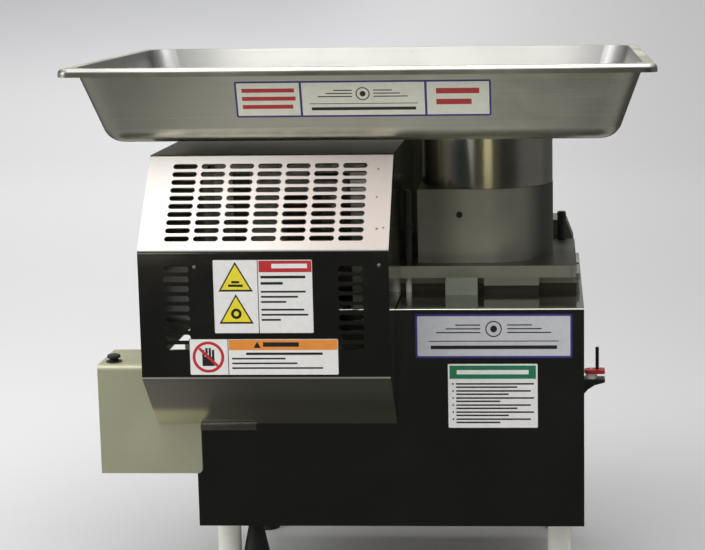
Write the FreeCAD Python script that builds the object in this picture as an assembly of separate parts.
import FreeCAD, Part
import math
import os

# Patty press. Units are millimetres. +Z is up, +Y points to the back, +X to the operator's right.
# The origin is the bottom centre of the bounding box, on the plane that the four feet stand on.

V = FreeCAD.Vector
AXIS_X = V(1, 0, 0)
AXIS_Y = V(0, 1, 0)
AXIS_Z = V(0, 0, 1)

# ---------------------------------------------------------------- driving dimensions
sheet = 2.0                 # stainless sheet of the covers
half_depth = 232.3          # from the origin to the front labels and to the tray's back edge
running_gap = 0.05          # radial play of a shaft in its bush
clear = 1.0                 # how far a cutter runs past the faces that it cuts

# cabinet
body_left, body_right = -179.4, 231.2
body_front, body_back = -164.4, 200.0
leg_length = 100.0
deck_top = 335.1
deck_thick = 3.1
pan_thick = 3.0

# legs
leg_radius = 12.7
leg_x = (-156.4, 204.8)
leg_y = (-114.5, 150.0)
foot_height = 11.0
bumper_x, bumper_y = -127.0, -114.0

# cable gland
gland_x, gland_z = -120.0, 140.0
gland_radius = 9.0
gland_bore = 5.5

# hopper
hopper_x, hopper_y = 125.6, 25.0
collar_radius = 74.0
chamber_radius = 70.0
bush_radius = 10.0
plate_left, plate_right = 5.0, 225.0
plate_front, plate_back = -70.8, 128.0
plate_bottom, plate_top = 351.5, 364.6
collar_top = 445.9
collar_left = 51.0
stud_radius = 3.25
stud_places = ((41.4, -60.8), (209.8, 118.2))   # front left, back right

# mold plate and its drive
cavity_radius = 50.8
cavity_x = 62.2
stroke = 110.0
mold_left, mold_right = 5.4, 229.0
mold_half_width = 68.0
mold_bottom, mold_top = 343.4, 351.2
slide_gap = 0.4
bed_top = 343.0
bed_front, bed_back = -56.0, 106.0
nose_left, nose_right = 124.0, 184.0
feeder_shaft_radius = 6.0
shaft_bottom, shaft_top = 250.0, 398.0
feeder_pulley_radius = 42.0
crank_pulley_radius = 28.0
crank_x, crank_y = 145.0, 110.0
crank_radius = stroke / 2
crank_pin_x = crank_x + crank_radius
crank_shaft_radius = 8.0
crank_pin_radius = 5.0
crank_disc_radius = 66.0
dog_y = 76.0
dog_radius = 5.0
rod_radius = 5.0
rod_left, rod_right = 52.0, 228.0
yoke_bottom, yoke_top = 300.0, 308.0
block_top = 328.0
pulley_bottom, pulley_top = 256.0, 270.0
pulley_flange = 1.5
rod_z = 318.0
rod_y = (60.0, 160.0)

# discharge chute
chute_half_width = 56.0
chute_wall = 30.0
chute_left, chute_right = -215.0, 8.0
chute_high = 315.0
chute_angle = 18.0
exit_bottom, exit_top = 238.0, 326.0

# knock-out
eject_x = cavity_x - stroke
cup_radius = 49.5
cup_bottom = 354.0
column_left, column_right = -142.0, -106.0
arm_bottom, arm_top = 437.0, 470.0
cylinder_radius = 15.0
knockout_rod_radius = 6.0
rod_seat = cup_bottom + 4

# guard
guard_left, guard_right = -219.4, 34.6
guard_front = -232.0
guard_back = 126.0
guard_top = 496.4
guard_hem = 368.0           # lower edge of the cheeks where they pass over the hopper plate
guard_profile = ((guard_back, guard_top), (-151.7, guard_top), (guard_front, 407.9), (guard_front, 276.3),
                 (-166.8, 213.2))
guard_tab_back = -52.0
guard_pin_x = (-162.0, -12.0)
guard_pin_z = 480.0
label_thick = half_depth + guard_front
slot_length, slot_width, slot_pitch = 25.4, 6.35, 10.0
slot_columns = 7
slope_rows, face_rows = 10, 9

# feed tray
tray_half_width = 304.8
tray_front, tray_back = -193.3, half_depth
tray_top, tray_floor = 588.6, 509.5
rim_width = 12.0
rim_corner = 13.0
lip_depth = 8.5
tray_draft = 27.0
tray_corner = 30.0

# control box
box_left, box_back = -282.0, -86.0
box_bottom, box_top = 158.4, 276.0
box_front = -166.4
button_x, button_y = -268.0, -148.0
button_hole_radius = 5.3

# clutch lever
lever_x, lever_y = 240.0, -100.0
lever_pin_radius = 1.5
lever_tip = 254.5
lever_bottom_gap = 5.7       # height of the two washers and the running gap
lever_thick = 4.0
handle_radius = 1.9
gusset_top = 246.5

nodes = {}


# ---------------------------------------------------------------- shape helpers
def block(x0, x1, y0, y1, z0, z1):
    return Part.makeBox(x1 - x0, y1 - y0, z1 - z0, V(x0, y0, z0))


def rod(x, y, z, radius, height, axis=AXIS_Z):
    return Part.makeCylinder(radius, height, V(x, y, z), axis)


def tube(x, y, z, outer, inner, height, axis=AXIS_Z):
    start = V(x, y, z) - axis
    return rod(x, y, z, outer, height, axis).cut(Part.makeCylinder(inner, height + 2, start, axis))


def fuse(shapes):
    result = shapes[0]
    if len(shapes) > 1:
        result = shapes[0].fuse(shapes[1:])
    return result.removeSplitter()


def rounded_wire(points, radii):
    """A closed wire through the corner points, with a tangent arc at each corner that has a radius."""
    edges = []
    ends = []
    count = len(points)
    for i, corner in enumerate(points):
        before = (points[i - 1] - corner).normalize()
        after = (points[(i + 1) % count] - corner).normalize()
        radius = radii[i]
        if radius <= 0:
            ends.append((corner, corner))
            continue
        half_angle = before.getAngle(after) / 2
        reach = radius / math.tan(half_angle)
        start = corner + before * reach
        finish = corner + after * reach
        inward = (before + after).normalize()
        middle = corner + inward * (radius / math.sin(half_angle) - radius)
        edges.append(Part.Arc(start, middle, finish).toShape())
        ends.append((start, finish))
    for i in range(count):
        a = ends[i][1]
        b = ends[(i + 1) % count][0]
        if (b - a).Length > 1e-6:
            edges.append(Part.makeLine(a, b))
    return Part.Wire(Part.__sortEdges__(edges))


def prism_x(profile, radii, x0, x1):
    """A solid with a rounded (Y, Z) profile, from x0 to x1."""
    wire = rounded_wire([V(x0, y, z) for y, z in profile], radii)
    return Part.Face(wire).extrude(AXIS_X * (x1 - x0))


def prism_y(profile, radii, y0, y1):
    """A solid with a rounded (X, Z) profile, from y0 to y1."""
    wire = rounded_wire([V(x, y0, z) for x, z in profile], radii)
    return Part.Face(wire).extrude(AXIS_Y * (y1 - y0))


def prism_z(profile, radii, z0, z1):
    """A solid with a rounded (X, Y) outline, from z0 to z1."""
    wire = rounded_wire([V(x, y, z0) for x, y in profile], radii)
    return Part.Face(wire).extrude(AXIS_Z * (z1 - z0))


def rounded_rectangle(x0, x1, y0, y1, radius, z):
    points = [V(x0, y0, z), V(x1, y0, z), V(x1, y1, z), V(x0, y1, z)]
    return rounded_wire(points, [radius] * 4)


def slot_x(x0, x1, y, half_width, z0, z1):
    """A long hole along X with round ends at x0 and x1."""
    outline = [(x0, y - half_width), (x1, y - half_width), (x1, y + half_width), (x0, y + half_width)]
    return prism_z(outline, [half_width - 0.01] * 4, z0, z1)


def hexagon(x, y, z, across_flats, height, axis=AXIS_Z):
    shape = Part.Face(Part.makePolygon([
        V(across_flats / math.sqrt(3) * math.cos(math.radians(60 * i)),
          across_flats / math.sqrt(3) * math.sin(math.radians(60 * i)), 0) for i in range(7)
    ])).extrude(AXIS_Z * height)
    shape.Placement = FreeCAD.Placement(V(x, y, z), FreeCAD.Rotation(AXIS_Z, axis))
    return shape


# ---------------------------------------------------------------- cabinet
def body_shell():
    """Wrapped front and side walls, open to the back, top and bottom, with a lip under the deck."""
    top = deck_top - deck_thick
    outer = block(body_left, body_right, body_front, body_back, leg_length, top)
    hollow = block(body_left + sheet, body_right - sheet, body_front + sheet, body_back + clear,
                   leg_length - clear, top + clear)
    lip_width = 14
    lip = block(body_left + sheet, body_right - sheet, body_front + sheet, body_front + lip_width,
                top - sheet, top)
    exit_reach = chute_half_width + 1
    exit_hole = block(body_left - clear, body_left + sheet + clear, hopper_y - exit_reach,
                      hopper_y + exit_reach, exit_bottom, exit_top)
    shell = fuse([outer.cut(hollow), lip]).cut(exit_hole)
    return shell


def top_deck():
    """Polished deck with its front edge rolled, and the holes that the drive and the patties use."""
    bottom = deck_top - deck_thick
    plate = block(body_left, body_right, body_front, body_back, bottom, deck_top)
    edge = [e for e in plate.Edges if abs(e.BoundBox.YMax - body_front) < 1e-6
            and abs(e.BoundBox.ZMin - deck_top) < 1e-6 and e.Length > 100]
    plate = plate.makeFillet(deck_thick / 2, edge)
    drop_hole_radius = cavity_radius + 2.2
    holes = [
        rod(eject_x, hopper_y, bottom - clear, drop_hole_radius, deck_thick + 2 * clear),
        rod(hopper_x, hopper_y, bottom - clear, feeder_shaft_radius + 2, deck_thick + 2 * clear),
        dog_slot(bottom - clear, deck_top + clear),
    ]
    return plate.cut(Part.makeCompound(holes))


def dog_slot(z0, z1):
    """The path of the drive dog through the deck and the mold bed."""
    half_width = dog_radius + 0.6
    return slot_x(crank_pin_x - stroke - half_width, crank_pin_x + half_width, dog_y, half_width, z0, z1)


def rear_panel():
    """Flat back cover with louvre slots and the cable hole."""
    plate = block(body_left, body_right, body_back, body_back + sheet, leg_length, deck_top)
    cuts = [rod(gland_x, body_back - clear, gland_z, gland_radius + 0.2, sheet + 2 * clear, AXIS_Y)]
    louvre_width, louvre_height, louvre_pitch, lowest = 80, 5, 14, 170
    for row in range(7):
        z = lowest + row * louvre_pitch
        for x in (-20, 110):
            cuts.append(block(x, x + louvre_width, body_back - clear, body_back + sheet + clear,
                              z, z + louvre_height))
    return plate.cut(Part.makeCompound(cuts))


def base_pan():
    """Bottom tray of the cabinet with upturned edges."""
    x0, x1 = body_left + sheet, body_right - sheet
    y0, y1 = body_front + sheet, body_back
    edge_height = 14
    outer = block(x0, x1, y0, y1, leg_length, leg_length + edge_height)
    inner = block(x0 + pan_thick, x1 - pan_thick, y0 + pan_thick, y1 - pan_thick,
                  leg_length + pan_thick, leg_length + edge_height + clear)
    return outer.cut(inner)


def leg(x, y):
    """Polished tube leg, closed at the top by a weld disc."""
    disc_thick = 6
    tube_length = leg_length - foot_height
    shape = rod(x, y, foot_height, leg_radius, tube_length)
    return shape.cut(rod(x, y, foot_height - clear, leg_radius - sheet, tube_length + clear - disc_thick))


def foot(x, y):
    """Rubber tip with a plug that stands inside the leg."""
    pad = Part.makeCone(leg_radius + 2.3, leg_radius + 0.8, foot_height, V(x, y, 0))
    plug_radius, plug_length = leg_radius - sheet - 0.2, 18
    return fuse([pad, rod(x, y, foot_height, plug_radius, plug_length)])


def rubber_bumper():
    """Conical rubber stop hanging under the cabinet on a short stud."""
    bottom, height = 52, 34
    cone = Part.makeCone(15, 8, height, V(bumper_x, bumper_y, bottom))
    return cone.cut(rod(bumper_x, bumper_y, 70, 4, 20))


def bumper_stud():
    """Threaded stud from the bumper up to the base pan, with its nut."""
    nut = hexagon(bumper_x, bumper_y, 86, 14, 6)
    return fuse([rod(bumper_x, bumper_y, 70, 4, leg_length - 70), nut])


def rear_cover():
    """Low wiring cover on the back of the deck, with a tall splash plate behind the knock-out."""
    front, back, left, top = 138, 197, 60, 385.5
    outside = [(left, deck_top), (left, top), (215, top), (224.4, 361), (226, deck_top)]
    inside = [(left + sheet, deck_top - clear), (left + sheet, top - sheet), (213.6, top - sheet),
              (222.3, 360.6), (223.9, deck_top - clear)]
    outer = prism_y(outside, [0, 4, 4, 2, 0], front, back)
    inner = prism_y(inside, [0, 2, 2, 0, 0], front + sheet, back - sheet)
    splash_top = 492
    splash = block(guard_left - 4, left + sheet, front, front + sheet, deck_top, splash_top)
    return fuse([outer.cut(inner), splash])


# ---------------------------------------------------------------- control box
def control_box():
    """Sheet box on the cabinet's left side with a rounded top bend and a flange on the front wall."""
    bend, ear_reach = 6, 5.6
    outside = [(box_front, box_bottom), (box_back, box_bottom), (box_back, box_top), (box_front, box_top)]
    inside = [(box_front + sheet, box_bottom + sheet), (box_back + clear, box_bottom + sheet),
              (box_back + clear, box_top - sheet), (box_front + sheet, box_top - sheet)]
    outer = prism_x(outside, [0, 0, 0, bend], box_left, body_left)
    inner = prism_x(inside, [0, 0, 0, bend - sheet], box_left + sheet, body_left + clear)
    ear_outline = [(body_left - clear, box_bottom), (body_left + ear_reach, box_bottom),
                   (body_left + ear_reach, box_top - sheet), (body_left - clear, box_top - sheet)]
    ear = prism_y(ear_outline, [0, 5, 2, 0], box_front, body_front)
    shape = fuse([outer.cut(inner), ear])
    return shape.cut(rod(button_x, button_y, box_top - 5, button_hole_radius, 10))


def control_box_cover():
    """Back plate that closes the control box."""
    return block(box_left + sheet, body_left - 0.2, box_back - sheet, box_back,
                 box_bottom + sheet, box_top - sheet)


def button_bezel():
    return tube(button_x, button_y, box_top, 8.5, button_hole_radius, 1.2)


def start_button():
    """Booted push button: a domed cap on a stem."""
    cap_bottom, cap_height, stem_bottom = box_top + 4.6, 3.4, 262
    cap = rod(button_x, button_y, cap_bottom, 7, cap_height)
    cap = cap.makeFillet(1.6, [e for e in cap.Edges if e.BoundBox.ZMin > cap_bottom + cap_height - 1e-6])
    return fuse([cap, rod(button_x, button_y, stem_bottom, 4, cap_bottom - stem_bottom)])


def switch_body():
    """Switch block under the button, with its terminals below."""
    upper = block(button_x - 10, button_x + 10, button_y - 12, button_y + 12, 222, 258.2)
    terminals = block(button_x - 6, button_x + 6, button_y - 6, button_y + 6, 206, 222)
    return fuse([upper, terminals])


def guard_rest():
    """Ledge on the front wall that carries the guard's lower edge."""
    return block(-173.6, -115, body_front - 4, body_front, 206, 211.6)


# ---------------------------------------------------------------- hopper
def hopper_plate():
    """Thick base plate with the two kidney-shaped fill openings, the bush seat and the post holes."""
    outline = [(plate_left, plate_front), (plate_right, plate_front), (plate_right, plate_back),
               (plate_left, plate_back)]
    plate = prism_z(outline, [0, 8, 8, 0], plate_bottom, plate_top)
    z, height = plate_bottom - clear, plate_top - plate_bottom + 2 * clear
    kidney_outer, kidney_inner, half_web = 60, 24, 9
    ring = tube(hopper_x, hopper_y, z, kidney_outer, kidney_inner, height)
    left_side = block(hopper_x - chamber_radius, hopper_x - 20, hopper_y - 48, hopper_y + 48, z, z + height)
    web = block(hopper_x - collar_radius, hopper_x, hopper_y - half_web, hopper_y + half_web,
                z - clear, z + height + clear)
    kidneys = ring.common(left_side).cut(web)
    holes = [kidneys, rod(hopper_x, hopper_y, z, bush_radius, height)]
    for x, y in stud_places:
        holes.append(rod(x, y, z, stud_radius + 0.3, height))
    return plate.cut(Part.makeCompound(holes))


def plate_bush():
    return tube(hopper_x, hopper_y, plate_bottom, bush_radius, feeder_shaft_radius + running_gap,
                plate_top - plate_bottom)


def hopper_collar():
    """Cast collar: square on its left, round on its right, bored for the feeding chamber."""
    outline = [(collar_left, hopper_y - collar_radius), (hopper_x, hopper_y - collar_radius),
               (hopper_x, hopper_y + collar_radius), (collar_left, hopper_y + collar_radius)]
    square = prism_z(outline, [0, 0, 0, 0], plate_top, collar_top)
    round_side = rod(hopper_x, hopper_y, plate_top, collar_radius, collar_top - plate_top)
    bore = rod(hopper_x, hopper_y, plate_top - 1, chamber_radius, collar_top - plate_top + 2)
    return fuse([square, round_side]).cut(bore)


def collar_screw():
    x, z = 97, 418
    y = hopper_y - collar_radius
    head = rod(x, y, z, 3.4, 1.6, AXIS_Y * -1)
    return head.cut(rod(x, y - 0.8, z, 1.6, 1, AXIS_Y * -1))


def mold_bed():
    """Lower wear plate that the mold plate runs on, with a forward guide block."""
    bed = block(plate_left, plate_right, bed_front, bed_back, deck_top, bed_top)
    nose = block(nose_left, nose_right, plate_front, bed_front, deck_top, bed_top)
    shaft_hole = rod(hopper_x, hopper_y, deck_top - clear, feeder_shaft_radius + 2, 10)
    return fuse([bed, nose]).cut(Part.makeCompound([shaft_hole, dog_slot(deck_top - clear, bed_top + clear)]))


def mold_rail(y0, y1):
    """Side rail between the bed and the hopper plate."""
    return block(plate_left, plate_right, y0, y1, bed_top, plate_bottom)


def guide_strip():
    """The rails' forward block, on the nose of the bed."""
    return block(nose_left, nose_right, plate_front, bed_front, bed_top, plate_bottom)


def spacer_block():
    return block(82.5, 117.4, -84, bed_front, deck_top, plate_bottom)


def hold_down_studs():
    studs = []
    for (x, y), top in zip(stud_places, (386, 382)):
        studs.append(rod(x, y, deck_top, stud_radius, top - deck_top))
    return Part.makeCompound(studs)


def hold_down_knob(x, y, radius, height, collars):
    """Long sleeve nut with a blind hole for the stud and knurled collars."""
    bottom = plate_top + 0.3
    collar_height, blind_depth = 3, 23
    parts = [rod(x, y, bottom, radius, height)]
    for z in collars:
        parts.append(rod(x, y, z, radius + 1.4, collar_height))
    knob = fuse(parts)
    top_edge = [e for e in knob.Edges if abs(e.BoundBox.ZMin - bottom - height) < 1e-6]
    knob = knob.makeFillet(1.2, top_edge)
    return knob.cut(rod(x, y, bottom - clear, stud_radius + 0.35, blind_depth + clear))


# ---------------------------------------------------------------- feeder
def feeder_shaft():
    return rod(hopper_x, hopper_y, shaft_bottom, feeder_shaft_radius, shaft_top - shaft_bottom)


def feeder_paddle():
    """Three curved blades on a hub, which sweep the floor of the chamber."""
    z = plate_top + 0.9
    blade_height, blade_thick, reach, bow = 26.0, 7.0, 61.0, 34.0
    parts = [rod(hopper_x, hopper_y, z, 15, 30)]
    for turn in range(3):
        outer = rod(hopper_x + reach / 2, hopper_y - bow, z, math.hypot(reach / 2, bow), blade_height)
        inner = rod(hopper_x + reach / 2, hopper_y - bow, z - 1,
                    math.hypot(reach / 2, bow) - blade_thick, blade_height + 2)
        half = block(hopper_x, hopper_x + reach, hopper_y - blade_thick, hopper_y + bow, z,
                     z + blade_height)
        blade = outer.cut(inner).common(half)
        blade.rotate(V(hopper_x, hopper_y, 0), AXIS_Z, 120 * turn + 20)
        parts.append(blade)
    return fuse(parts).cut(rod(hopper_x, hopper_y, z - 1, feeder_shaft_radius, 40))


def paddle_nut():
    """Domed cap nut that holds the paddle on its shaft."""
    z, hex_height = plate_top + 30.9, 5
    dome = Part.makeSphere(8, V(hopper_x, hopper_y, z + hex_height), AXIS_Z, 0, 90, 360)
    nut = fuse([hexagon(hopper_x, hopper_y, z, 18, hex_height), dome])
    return nut.cut(rod(hopper_x, hopper_y, z - clear, feeder_shaft_radius, shaft_top - z + clear))


def deck_bearing():
    """Flanged bearing under the deck for the feeder shaft."""
    top = deck_top - deck_thick
    flange = tube(hopper_x, hopper_y, top - 5, 20, feeder_shaft_radius + running_gap, 5)
    barrel = tube(hopper_x, hopper_y, top - 20, 13, feeder_shaft_radius + running_gap, 15.5)
    return fuse([flange, barrel])


def pulley(x, y, radius, bore):
    """Flanged belt pulley."""
    height = pulley_top - pulley_bottom
    parts = [rod(x, y, pulley_bottom, radius, height)]
    for z in (pulley_bottom, pulley_top - pulley_flange):
        parts.append(rod(x, y, z, radius + 4, pulley_flange))
    return fuse(parts).cut(rod(x, y, pulley_bottom - clear, bore, height + 2 * clear))


def loop_solid(offset, z0, z1):
    """A plate with the outline of a belt round both pulleys, grown by offset."""
    r1, r2 = feeder_pulley_radius + offset, crank_pulley_radius + offset
    centre1, centre2 = V(hopper_x, hopper_y, z0), V(crank_x, crank_y, z0)
    line = centre2 - centre1
    heading = math.atan2(line.y, line.x)
    swing = math.acos((r1 - r2) / line.Length)

    def point(centre, radius, angle):
        return centre + V(radius * math.cos(angle), radius * math.sin(angle), 0)

    a1 = point(centre1, r1, heading + swing)
    b1 = point(centre1, r1, heading - swing)
    a2 = point(centre2, r2, heading + swing)
    b2 = point(centre2, r2, heading - swing)
    edges = [
        Part.Arc(a1, point(centre1, r1, heading + math.pi), b1).toShape(),
        Part.makeLine(b1, b2),
        Part.Arc(b2, point(centre2, r2, heading), a2).toShape(),
        Part.makeLine(a2, a1),
    ]
    return Part.Face(Part.Wire(edges)).extrude(AXIS_Z * (z1 - z0))


def drive_belt():
    """Flat belt round both pulleys, 0.4 mm clear of them."""
    bottom, top = pulley_bottom + 2, pulley_top - 2
    return loop_solid(3.0, bottom, top).cut(loop_solid(0.4, bottom - clear, top + clear))


# ---------------------------------------------------------------- crank drive
def gearbox():
    """Right-angle gearbox with the bore of its upright output shaft."""
    case = block(100, 190, 65, 155, 160, 246)
    case = case.makeFillet(6, [e for e in case.Edges if abs(e.tangentAt(0).z) > 0.9])
    boss = rod(crank_x, crank_y, 246, 20, 6)
    return fuse([case, boss]).cut(rod(crank_x, crank_y, 220, 8 + running_gap, 40))


def gearbox_mount():
    outer = block(95, 195, 60, 160, leg_length + pan_thick, 160)
    return outer.cut(block(101, 189, 59, 161, leg_length + pan_thick - 1, 154))


def motor():
    """Drive motor lying along X, with cooling ribs and a terminal box on top."""
    body = rod(-60, crank_y, 205, 43, 160, AXIS_X)
    ribs = []
    for i in range(20):
        rib = block(-50, 86, crank_y - 0.9, crank_y + 0.9, 205 + 42, 205 + 46.5)
        rib.rotate(V(0, crank_y, 205), AXIS_X, 18 * i + 9)
        ribs.append(rib)
    terminal_box = block(0, 52, 92, 128, 205 + 30, 274)
    return fuse([body, terminal_box] + ribs)


def motor_fan_cover():
    cover = rod(-88, crank_y, 205, 46, 28, AXIS_X)
    hollow = rod(-86, crank_y, 205, 44, 27, AXIS_X)
    cuts = [hollow]
    for ring in (14, 26, 38):
        for i in range(8):
            slot = rod(-90, crank_y + ring, 205, 3, 6, AXIS_X)
            slot.rotate(V(0, crank_y, 205), AXIS_X, 45 * i)
            cuts.append(slot)
    return cover.cut(Part.makeCompound(cuts))


def crank_shaft():
    return rod(crank_x, crank_y, 222, 8, 66)


def crank_disc():
    """Crank disc with lightening holes and its upright pin."""
    bottom, thick, hole_radius, hole_circle = 278, 10, 11, 38
    disc = rod(crank_x, crank_y, bottom, crank_disc_radius, thick)
    disc = disc.cut(rod(crank_x, crank_y, bottom - clear, crank_shaft_radius, thick + 2 * clear))
    for i in range(1, 6):
        hole = rod(crank_x + hole_circle, crank_y, bottom - clear, hole_radius, thick + 2 * clear)
        hole.rotate(V(crank_x, crank_y, 0), AXIS_Z, 60 * i)
        disc = disc.cut(hole)
    pin = rod(crank_pin_x, crank_y, bottom + thick, crank_pin_radius, 11)
    return fuse([disc, pin])


def crank_roller():
    return tube(crank_pin_x, crank_y, 289, 9, crank_pin_radius + running_gap, yoke_bottom - 1.2 - 289)


def drive_carriage():
    """Slotted yoke with two bored blocks that run on the guide rods."""
    half_width, half_slot = 16, 9.3
    x0, x1 = crank_pin_x - half_width, crank_pin_x + half_width
    end_reach, slot_reach = crank_disc_radius + 8, crank_disc_radius - 2
    bar = block(x0, x1, crank_y - end_reach, crank_y + end_reach, yoke_bottom, yoke_top)
    slot = block(crank_pin_x - half_slot, crank_pin_x + half_slot, crank_y - slot_reach,
                 crank_y + slot_reach, yoke_bottom - clear, yoke_top + clear)
    front = block(x0, x1, 52, 86, yoke_top, block_top)
    back = block(x0, x1, 152, 168, yoke_top, block_top)
    shape = fuse([bar.cut(slot), front, back])
    for y in rod_y:
        bore = rod(x0 - clear, y, rod_z, rod_radius + 0.08, 2 * half_width + 2 * clear, AXIS_X)
        shape = shape.cut(bore)
    return shape


def drive_dog():
    return rod(crank_pin_x, dog_y, block_top, dog_radius, mold_top - block_top)


def carriage_rods():
    length = rod_right - rod_left
    return Part.makeCompound([rod(rod_left, y, rod_z, rod_radius, length, AXIS_X) for y in rod_y])


def rod_holders():
    """Four blocks that hang the guide rods under the deck."""
    thick, half_width = 10, 9
    holders = []
    for x in (rod_left, rod_right - thick):
        for y in rod_y:
            holder = block(x, x + thick, y - half_width, y + half_width, yoke_top, deck_top - deck_thick)
            holders.append(holder.cut(rod(x - clear, y, rod_z, rod_radius, thick + 2 * clear, AXIS_X)))
    return Part.makeCompound(holders)


def mold_plate():
    """Forked plate with the round cavity and the hole for the drive dog."""
    y0, y1 = hopper_y - mold_half_width, hopper_y + mold_half_width
    plate = prism_z([(mold_left, y0), (mold_right, y0), (mold_right, y1), (mold_left, y1)],
                    [10, 4, 4, 10], mold_bottom, mold_top)
    z, height = mold_bottom - 1, mold_top - mold_bottom + 2
    gap = feeder_shaft_radius + 0.6
    fork = fuse([rod(hopper_x, hopper_y, z, gap, height),
                 block(hopper_x, mold_right + 1, hopper_y - gap, hopper_y + gap, z, z + height)])
    return plate.cut(Part.makeCompound([
        rod(cavity_x, hopper_y, z, cavity_radius, height), fork,
        rod(crank_pin_x, dog_y, z, dog_radius, height)]))


# ---------------------------------------------------------------- knock-out
def knockout_mount():
    """Column beside the drop hole, with a deep arm that steps down to carry the cylinder."""
    y0, y1 = hopper_y - 18, hopper_y + 18
    column = block(column_left, column_right, y0, y1, deck_top, arm_bottom)
    arm = block(column_left, eject_x - 29, y0, y1, arm_bottom, arm_top)
    nose = block(eject_x - 29, eject_x + 16, hopper_y - 16, hopper_y + 16, arm_bottom, arm_bottom + 12)
    nose = nose.makeFillet(5, [e for e in nose.Edges if abs(e.tangentAt(0).z) > 0.9
                               and e.BoundBox.XMin > eject_x])
    return fuse([column, arm, nose])


def knockout_cylinder():
    bottom, bore_depth = 392, 41
    barrel = rod(eject_x, hopper_y, bottom, cylinder_radius, arm_bottom - bottom)
    return barrel.cut(rod(eject_x, hopper_y, bottom - clear, knockout_rod_radius + 0.3, bore_depth + clear))


def cylinder_clamp():
    """Broad clamp bar round the knock-out cylinder."""
    bottom, thick = 414, 6
    bar = block(eject_x - 56, eject_x + 36, hopper_y - 20, hopper_y + 20, bottom, bottom + thick)
    return bar.cut(rod(eject_x, hopper_y, bottom - clear, cylinder_radius, thick + 2 * clear))


def knockout_cup():
    """Thin stainless cup with a raised rim and a hub."""
    cup = rod(eject_x, hopper_y, cup_bottom, cup_radius, 14)
    cup = cup.cut(rod(eject_x, hopper_y, cup_bottom + 3, cup_radius - 2.5, 14))
    hub = rod(eject_x, hopper_y, cup_bottom + 3, 14, 9)
    return fuse([cup, hub]).cut(rod(eject_x, hopper_y, rod_seat, knockout_rod_radius, 12))


def knockout_rod():
    return rod(eject_x, hopper_y, rod_seat, knockout_rod_radius, 70)


def discharge_chute():
    """Sloped channel from under the deck hole out through the cabinet's left wall."""
    y0, y1 = hopper_y - chute_half_width, hopper_y + chute_half_width
    left, right, high, wall = chute_left, chute_right, chute_high, chute_wall
    slope = math.tan(math.radians(chute_angle))
    low = high - (right - left) * slope
    outside = [(right, high), (right, high + wall), (left, low + wall), (left, low)]
    floor_right = high + sheet + clear * slope
    floor_left = low + sheet - clear * slope
    inside = [(right + clear, floor_right), (right + clear, floor_right + 2 * wall),
              (left - clear, floor_left + 2 * wall), (left - clear, floor_left)]
    channel = prism_y(outside, [0] * 4, y0, y1).cut(prism_y(inside, [0] * 4, y0 + sheet, y1 - sheet))
    under_deck = deck_top - deck_thick - 0.5
    return channel.cut(block(left, right + clear, y0 - clear, y1 + clear, under_deck, deck_top + wall))


# ---------------------------------------------------------------- guard
def guard():
    """Bent sheet hood with side cheeks, rows of slots and a folded tab with two pin holes."""
    deck_line = deck_top + 2.9
    step_y = -75.0
    lip_y = guard_profile[-1][0]
    back_edge = [(lip_y, deck_line), (step_y, deck_line), (step_y, guard_hem), (guard_back, guard_hem)]
    outer = prism_x(list(guard_profile) + back_edge, [0, 6, 7, 7, 0, 0, 4, 4, 0], guard_left, guard_right)
    inside = [(guard_back + clear, guard_top - sheet), (-150.9, guard_top - sheet),
              (guard_front + sheet, 407.1), (guard_front + sheet, 277.2), (-165.0, 212.3),
              (guard_back + clear, 212.3)]
    inner = prism_x(inside, [0, 4, 5, 5, 0, 0], guard_left + sheet, guard_right - sheet)
    tab = block(-178, 0, guard_tab_back - sheet, guard_tab_back, 466, guard_top - sheet)
    skirt = block(guard_left, guard_left + sheet, lip_y, guard_back, box_top + 3, guard_hem)
    shape = fuse([outer.cut(inner), tab, skirt])
    cuts = guard_slots()
    for x in guard_pin_x:
        cuts.append(rod(x, guard_tab_back - 4, guard_pin_z, 4.4, 6, AXIS_Y))
    return shape.cut(Part.makeCompound(cuts))


def guard_slots():
    """Rows of round-ended slots on the slope and two columns on the face."""
    slots = []
    pitch = (guard_right - guard_left - 52 - slot_length) / (slot_columns - 1)
    starts = [guard_left + 26 + pitch * i for i in range(slot_columns)]
    fold_y, fold_z = guard_profile[2]
    head_y, head_z = guard_profile[1]
    along = V(0, head_y - fold_y, head_z - fold_z)
    length = along.Length
    along.normalize()
    outward = V(0, -along.z, along.y)
    first = (length - slot_pitch * (slope_rows - 1)) / 2
    for start in starts:
        for row in range(slope_rows):
            place = V(start, fold_y, fold_z) + along * (first + slot_pitch * row)
            slots.append(slot_cutter(place, along, outward))
    for start in (starts[0], starts[-1]):
        for row in range(face_rows):
            place = V(start, guard_front, fold_z - 19 - slot_pitch * row)
            slots.append(slot_cutter(place, AXIS_Z, AXIS_Y * -1))
    return slots


def slot_cutter(place, across, outward):
    """A cutter whose left end is at place, which runs along X and through the sheet."""
    radius = slot_width / 2
    base = place - outward * 4
    left = Part.makeCylinder(radius, 8, base + AXIS_X * radius, outward)
    right = Part.makeCylinder(radius, 8, base + AXIS_X * (slot_length - radius), outward)
    corner = base + AXIS_X * radius - across * radius
    run = AXIS_X * (slot_length - slot_width)
    wire = Part.makePolygon([corner, corner + run, corner + run + across * slot_width,
                             corner + across * slot_width, corner])
    middle = Part.Face(wire).extrude(outward * 8)
    return left.fuse([middle, right]).removeSplitter()


def guard_bracket():
    """Goal-post bracket on the deck that the guard hangs from."""
    y0 = guard_tab_back + 2
    y1 = y0 + 4
    top = guard_top - sheet - slide_gap
    posts = [block(x - 10, x + 10, y0, y1, deck_top, top) for x in guard_pin_x]
    beam = block(guard_pin_x[0] - 10, guard_pin_x[1] + 10, y0, y1, 466, top)
    return fuse(posts + [beam])


def guard_pins():
    return [rod(x, guard_tab_back - 10, guard_pin_z, 4, 12, AXIS_Y) for x in guard_pin_x]


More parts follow.
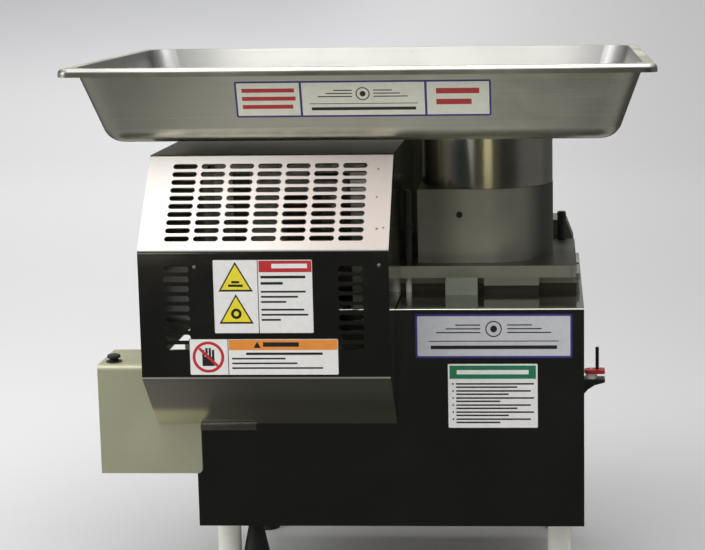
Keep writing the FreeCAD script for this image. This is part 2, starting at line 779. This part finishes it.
def face_label(x0, x1, y, z0, z1, thick):
    """A thin plate stuck to a wall that faces the front."""
    return prism_y([(x0, z0), (x1, z0), (x1, z1), (x0, z1)], [1.5] * 4, y - thick, y)


def guard_labels():
    return Part.makeCompound([
        face_label(-143.6, -42.0, guard_front, 323.0, 399.2, label_thick),
        face_label(-170.0, -17.6, guard_front, 279.9, 318.0, label_thick)])


def body_labels():
    return Part.makeCompound([
        face_label(55.0, 219.0, body_front, 282.6, 329.4, label_thick),
        face_label(88.0, 183.2, body_front, 207.0, 277.0, label_thick)])


# ---------------------------------------------------------------- feed tray
def tray_outline(inset, z, corner):
    return rounded_rectangle(-tray_half_width + inset, tray_half_width - inset, tray_front + inset,
                             tray_back - inset, corner, z)


def feed_tray():
    """Pressed pan with sloping walls, a rounded floor edge, a flat rim and a rolled-over lip."""
    bottom_inset = rim_width + tray_draft
    rim_bottom = tray_top - sheet
    outer = Part.makeLoft([tray_outline(bottom_inset, tray_floor, tray_corner - 4),
                           tray_outline(rim_width, rim_bottom, tray_corner)], True, True)
    outer = outer.makeFillet(22, [e for e in outer.Edges if e.BoundBox.ZMax < tray_floor + 0.01])
    rise = (rim_bottom - tray_floor) / tray_draft
    floor_in = tray_floor + sheet
    low = bottom_inset + sheet - sheet / rise
    high = rim_width + sheet - (sheet + clear) / rise
    inner = Part.makeLoft([tray_outline(low, floor_in, tray_corner - 6),
                           tray_outline(high, tray_top + clear, tray_corner - 2)], True, True)
    inner = inner.makeFillet(20, [e for e in inner.Edges if e.BoundBox.ZMax < floor_in + 0.01])
    hole = rod(hopper_x, hopper_y, tray_floor - clear, collar_radius - 2.3, 10)
    return fuse([outer, tray_rim()]).cut(inner).cut(hole)


def tray_rim():
    """Flat rim whose edge is rolled over into a hollow lip, open underneath."""
    roll = 5.0
    lip_bottom = tray_top - lip_depth
    skin = Part.Face(tray_outline(0, lip_bottom, rim_corner)).extrude(AXIS_Z * lip_depth)
    skin = skin.makeFillet(roll, [e for e in skin.Edges if e.BoundBox.ZMin > tray_top - 0.01])
    under = Part.Face(tray_outline(sheet, lip_bottom - clear, rim_corner - sheet))
    under = under.extrude(AXIS_Z * (lip_depth + clear - sheet))
    under = under.makeFillet(roll - sheet, [e for e in under.Edges
                                            if e.BoundBox.ZMin > tray_top - sheet - 0.01])
    pan = Part.Face(tray_outline(rim_width - clear, lip_bottom - 2 * clear, tray_corner))
    return skin.cut(under.cut(pan.extrude(AXIS_Z * (lip_depth + 3 * clear))))


def tray_spout():
    """Polished spout under the tray, with a stepped sleeve that registers in the collar."""
    inner, outer, thick = 67.6, collar_radius - 0.3, 2.0
    step = collar_top + 0.3
    profile = [(inner, 425.0), (inner + thick, 425.0), (inner + thick, step), (outer, step),
               (outer, tray_floor), (outer - thick, tray_floor), (outer - thick, step + thick),
               (inner, step + thick)]
    wire = Part.makePolygon([V(hopper_x + r, hopper_y, z) for r, z in profile + [profile[0]]])
    return Part.Face(wire).revolve(V(hopper_x, hopper_y, 0), AXIS_Z, 360)


def tray_label():
    """Thin plate on the tray's sloping front wall."""
    height, width, thick = 40.0, 262.0, label_thick
    slope = math.atan2(tray_draft, tray_top - sheet - tray_floor)
    plate = prism_y([(-125.0, 0), (-125.0 + width, 0), (-125.0 + width, height), (-125.0, height)],
                    [1.5] * 4, -thick, 0)
    plate.rotate(V(0, 0, 0), AXIS_X, math.degrees(slope))
    low = 536.0
    y = tray_front + rim_width + tray_draft * (tray_top - sheet - low) / (tray_top - sheet - tray_floor)
    plate.translate(V(0, y, low))
    return plate


# ---------------------------------------------------------------- clutch lever
def lever_bracket():
    """Black gusset on the right wall that carries the lever's pivot."""
    drops = [(body_right, 16.5), (236, 11), (243.5, 6.2), (lever_tip, 3.2), (lever_tip, 0), (body_right, 0)]
    outline = [(x, gusset_top - drop) for x, drop in drops]
    return prism_y(outline, [0] * 6, lever_y - 9, lever_y + 9)


def lever_discs():
    """Two stacked washers under the lever."""
    thick = 2.6
    return [tube(lever_x, lever_y, gusset_top, 6.7, lever_pin_radius, thick),
            tube(lever_x, lever_y, gusset_top + thick, 6, lever_pin_radius, thick)]


def lever_pin():
    return rod(lever_x, lever_y, gusset_top, lever_pin_radius, lever_bottom_gap + lever_thick + 0.8)


def clutch_lever():
    """Flat red lever that swings about its pivot, with an upright handle near its tip."""
    half, heel, handle_top = 7.6, 7.4, gusset_top + 34
    bottom = gusset_top + lever_bottom_gap
    outline = [(lever_x - heel, lever_y - half), (lever_tip, lever_y - half),
               (lever_tip, lever_y + half), (lever_x - heel, lever_y + half)]
    bar = prism_z(outline, [7, 2, 2, 7], bottom, bottom + lever_thick)
    handle = rod(lever_tip - 8.2, lever_y, bottom + 1, handle_radius, handle_top - bottom - 1)
    hole = rod(lever_x, lever_y, bottom - clear, lever_pin_radius + 0.06, lever_thick + 2 * clear)
    return fuse([bar, handle]).cut(hole)


# ---------------------------------------------------------------- back and fasteners
def power_gland():
    """Cable gland in the rear panel, with no cord fitted."""
    x, z, outside = gland_x, gland_z, body_back + sheet
    nut_height, nose_length = 6, 12
    parts = [rod(x, body_back - 8, z, gland_radius, 12, AXIS_Y),
             hexagon(x, outside, z, 24, nut_height, AXIS_Y),
             rod(x, outside + nut_height, z, gland_radius + 0.5, nose_length, AXIS_Y)]
    return fuse(parts).cut(rod(x, body_back - 10, z, gland_bore, 40, AXIS_Y))


def screw_head(x, y, z):
    """Round head on a back-facing panel, with a recess for the driver."""
    height, recess = 2.2, 1.0
    return rod(x, y, z, 4, height, AXIS_Y).cut(rod(x, y + height - recess, z, 2, 2 * recess, AXIS_Y))


def panel_screws():
    heads = []
    for x in (body_left + 12, (body_left + body_right) / 2, body_right - 12):
        for z in (leg_length + 8, 322):
            heads.append(screw_head(x, body_back + sheet, z))
    return heads


def box_screws():
    heads = []
    for x in (box_left + 12, body_left - 12):
        for z in (box_bottom + 14, box_top - 14):
            heads.append(screw_head(x, box_back, z))
    return heads


def build():
    nodes["body_shell"] = body_shell()
    nodes["top_deck"] = top_deck()
    nodes["rear_panel"] = rear_panel()
    nodes["base_pan"] = base_pan()
    nodes["legs"] = Part.makeCompound([leg(x, y) for x in leg_x for y in leg_y])
    nodes["rubber_feet"] = Part.makeCompound([foot(x, y) for x in leg_x for y in leg_y])
    nodes["rubber_bumper"] = rubber_bumper()
    nodes["bumper_stud"] = bumper_stud()
    nodes["rear_cover"] = rear_cover()
    nodes["control_box"] = control_box()
    nodes["control_box_cover"] = control_box_cover()
    nodes["button_bezel"] = button_bezel()
    nodes["start_button"] = start_button()
    nodes["switch_body"] = switch_body()
    nodes["guard_rest"] = guard_rest()
    nodes["hopper_plate"] = hopper_plate()
    nodes["plate_bush"] = plate_bush()
    nodes["hopper_collar"] = hopper_collar()
    nodes["mold_bed"] = mold_bed()
    front_rail_back = hopper_y - mold_half_width - slide_gap
    back_rail_front = hopper_y + mold_half_width + slide_gap
    nodes["mold_rails"] = Part.makeCompound([
        mold_rail(bed_front, front_rail_back), mold_rail(back_rail_front, bed_back), guide_strip()])
    nodes["spacer_block"] = spacer_block()
    nodes["hold_down_studs"] = hold_down_studs()
    nodes["hold_down_knob_front"] = hold_down_knob(*stud_places[0], 4.35, 82.7, (400, 408))
    nodes["hold_down_knob_rear"] = hold_down_knob(*stud_places[1], 5.0, 33.7, ())
    nodes["feeder_shaft"] = feeder_shaft()
    nodes["feeder_paddle"] = feeder_paddle()
    nodes["paddle_nut"] = paddle_nut()
    nodes["deck_bearing"] = deck_bearing()
    nodes["feeder_pulley"] = pulley(hopper_x, hopper_y, feeder_pulley_radius, feeder_shaft_radius)
    nodes["crank_pulley"] = pulley(crank_x, crank_y, crank_pulley_radius, 8)
    nodes["drive_belt"] = drive_belt()
    nodes["gearbox"] = gearbox()
    nodes["gearbox_mount"] = gearbox_mount()
    nodes["motor"] = motor()
    nodes["motor_fan_cover"] = motor_fan_cover()
    nodes["crank_shaft"] = crank_shaft()
    nodes["crank_disc"] = crank_disc()
    nodes["crank_roller"] = crank_roller()
    nodes["drive_carriage"] = drive_carriage()
    nodes["drive_dog"] = drive_dog()
    nodes["carriage_rods"] = carriage_rods()
    nodes["rod_holders"] = rod_holders()
    nodes["mold_plate"] = mold_plate()
    nodes["knockout_mount"] = knockout_mount()
    nodes["knockout_cylinder"] = knockout_cylinder()
    nodes["cylinder_clamp"] = cylinder_clamp()
    nodes["knockout_cup"] = knockout_cup()
    nodes["knockout_rod"] = knockout_rod()
    nodes["discharge_chute"] = discharge_chute()
    nodes["guard"] = guard()
    nodes["guard_bracket"] = fuse([guard_bracket()] + guard_pins())
    nodes["labels_guard"] = guard_labels()
    nodes["labels_body"] = body_labels()
    nodes["feed_tray"] = feed_tray()
    nodes["tray_spout"] = tray_spout()
    nodes["label_tray"] = tray_label()
    nodes["lever_bracket"] = fuse([lever_bracket(), lever_pin()] + lever_discs())
    nodes["clutch_lever"] = clutch_lever()
    nodes["power_gland"] = power_gland()
    nodes["cover_screws"] = Part.makeCompound(panel_screws() + box_screws() + [collar_screw()])


build()
os.makedirs("parts", exist_ok=True)
for name, shape in nodes.items():
    shape.exportStep("parts/%s.step" % name)
